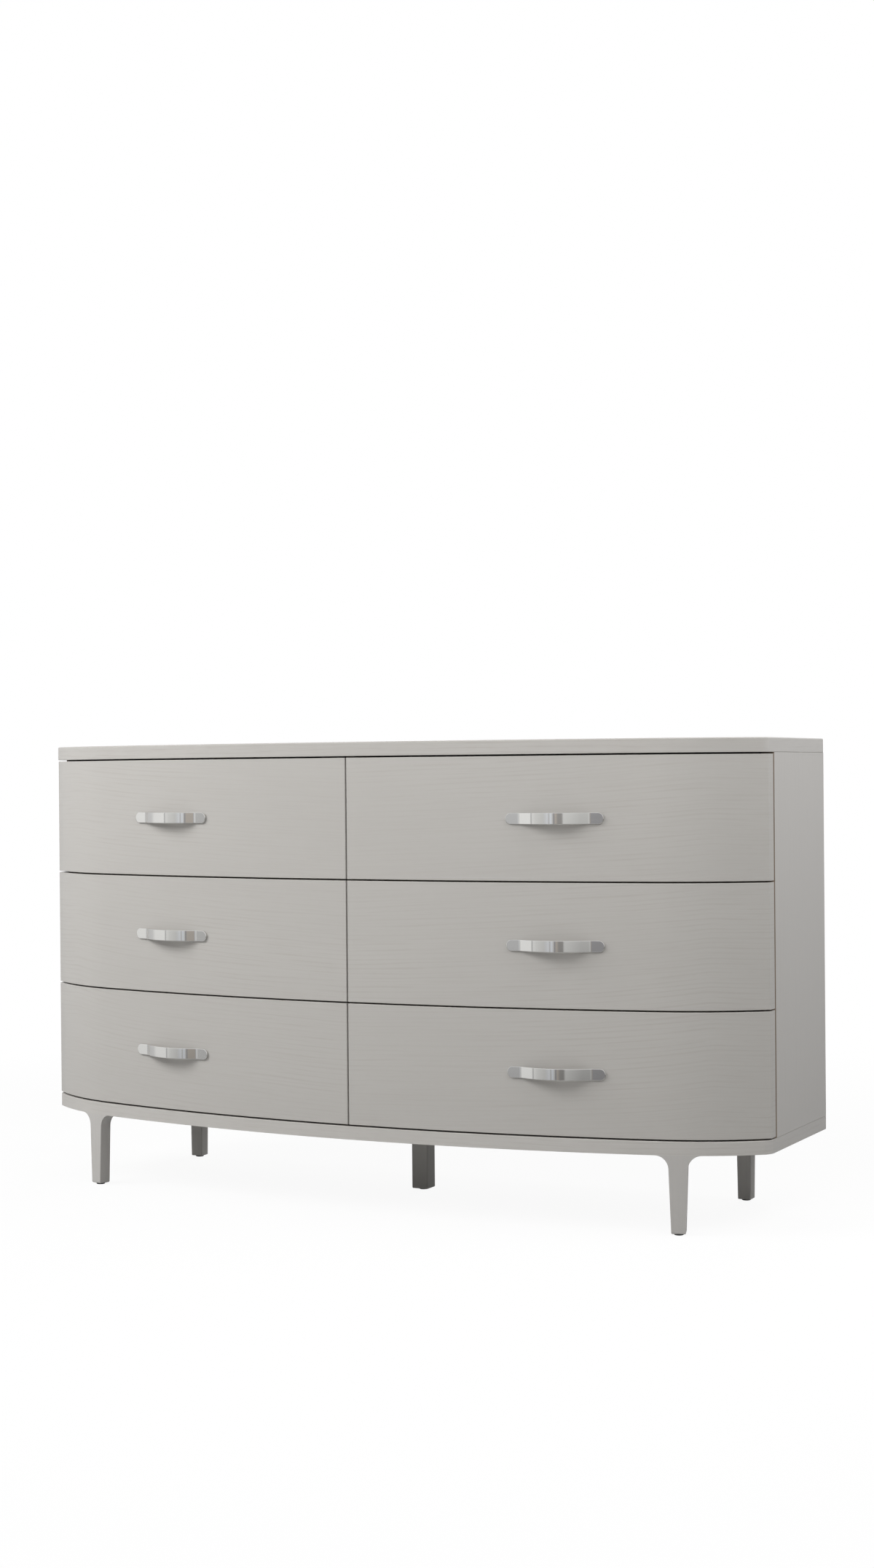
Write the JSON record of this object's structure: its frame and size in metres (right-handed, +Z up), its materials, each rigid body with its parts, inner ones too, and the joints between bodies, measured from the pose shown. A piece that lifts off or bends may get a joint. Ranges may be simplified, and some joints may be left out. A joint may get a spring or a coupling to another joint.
{
  "type": "dresser",
  "caption": "Bow-front chest with two columns of drawers sliding on wooden rails, metal strap pulls and short tapered legs with coved tops.",
  "frame": {"origin": "on the floor, under the middle of the box that holds the whole dresser", "axes": "+X to the right of a viewer in front, +Y towards the back, +Z up; the drawers open towards -Y"},
  "size_m": [1.62, 0.5059, 0.928],
  "materials": {
    "washed_veneer": "pearl-grey washed veneer under a satin lacquer",
    "case_board": "plain sealed board",
    "back_board": "thin grey-stained board",
    "drawer_wood": "clear-sealed pale hardwood",
    "drawer_ply": "clear-sealed thin plywood",
    "hardwood_rail": "waxed hardwood",
    "polished_nickel": "polished nickel plate",
    "zinc_steel": "zinc-plated steel",
    "nylon_glide": "black nylon"
  },
  "bodies": {
    "case": {"top_panel": "washed_veneer", "base_panel": "washed_veneer", "left_side_panel": "washed_veneer", "right_side_panel": "washed_veneer", "center_divider": "case_board", "back_panel": "back_board", "upper_dust_shelves": "case_board", "lower_dust_shelves": "case_board", "base_runners": "hardwood_rail", "center_rails": "hardwood_rail", "drawer_stops": "hardwood_rail", "left_front_leg": "washed_veneer", "right_front_leg": "washed_veneer", "left_rear_leg": "washed_veneer", "right_rear_leg": "washed_veneer", "center_leg": "washed_veneer", "leg_glides": "nylon_glide", "leg_bolts": "zinc_steel"},
    "lower_left_drawer": {"lower_left_drawer_front": "washed_veneer", "lower_left_drawer_sides": "drawer_wood", "lower_left_drawer_back": "drawer_wood", "lower_left_drawer_bottom": "drawer_ply", "lower_left_guide_channel": "hardwood_rail", "lower_left_pull": "polished_nickel", "lower_left_pull_screws": "zinc_steel"},
    "lower_right_drawer": {"lower_right_drawer_front": "washed_veneer", "lower_right_drawer_sides": "drawer_wood", "lower_right_drawer_back": "drawer_wood", "lower_right_drawer_bottom": "drawer_ply", "lower_right_guide_channel": "hardwood_rail", "lower_right_pull": "polished_nickel", "lower_right_pull_screws": "zinc_steel"},
    "middle_left_drawer": {"middle_left_drawer_front": "washed_veneer", "middle_left_drawer_sides": "drawer_wood", "middle_left_drawer_back": "drawer_wood", "middle_left_drawer_bottom": "drawer_ply", "middle_left_guide_channel": "hardwood_rail", "middle_left_pull": "polished_nickel", "middle_left_pull_screws": "zinc_steel"},
    "middle_right_drawer": {"middle_right_drawer_front": "washed_veneer", "middle_right_drawer_sides": "drawer_wood", "middle_right_drawer_back": "drawer_wood", "middle_right_drawer_bottom": "drawer_ply", "middle_right_guide_channel": "hardwood_rail", "middle_right_pull": "polished_nickel", "middle_right_pull_screws": "zinc_steel"},
    "upper_left_drawer": {"upper_left_drawer_front": "washed_veneer", "upper_left_drawer_sides": "drawer_wood", "upper_left_drawer_back": "drawer_wood", "upper_left_drawer_bottom": "drawer_ply", "upper_left_guide_channel": "hardwood_rail", "upper_left_pull": "polished_nickel", "upper_left_pull_screws": "zinc_steel"},
    "upper_right_drawer": {"upper_right_drawer_front": "washed_veneer", "upper_right_drawer_sides": "drawer_wood", "upper_right_drawer_back": "drawer_wood", "upper_right_drawer_bottom": "drawer_ply", "upper_right_guide_channel": "hardwood_rail", "upper_right_pull": "polished_nickel", "upper_right_pull_screws": "zinc_steel"}
  },
  "joints": [
    {"name": "lower_left_drawer_slide", "type": "slide", "parent": "case", "child": "lower_left_drawer", "axis": [0, -1, 0], "range_m": [0, 0.28]},
    {"name": "lower_right_drawer_slide", "type": "slide", "parent": "case", "child": "lower_right_drawer", "axis": [0, -1, 0], "range_m": [0, 0.28]},
    {"name": "middle_left_drawer_slide", "type": "slide", "parent": "case", "child": "middle_left_drawer", "axis": [0, -1, 0], "range_m": [0, 0.28]},
    {"name": "middle_right_drawer_slide", "type": "slide", "parent": "case", "child": "middle_right_drawer", "axis": [0, -1, 0], "range_m": [0, 0.28]},
    {"name": "upper_left_drawer_slide", "type": "slide", "parent": "case", "child": "upper_left_drawer", "axis": [0, -1, 0], "range_m": [0, 0.28]},
    {"name": "upper_right_drawer_slide", "type": "slide", "parent": "case", "child": "upper_right_drawer", "axis": [0, -1, 0], "range_m": [0, 0.28]}
  ]
}
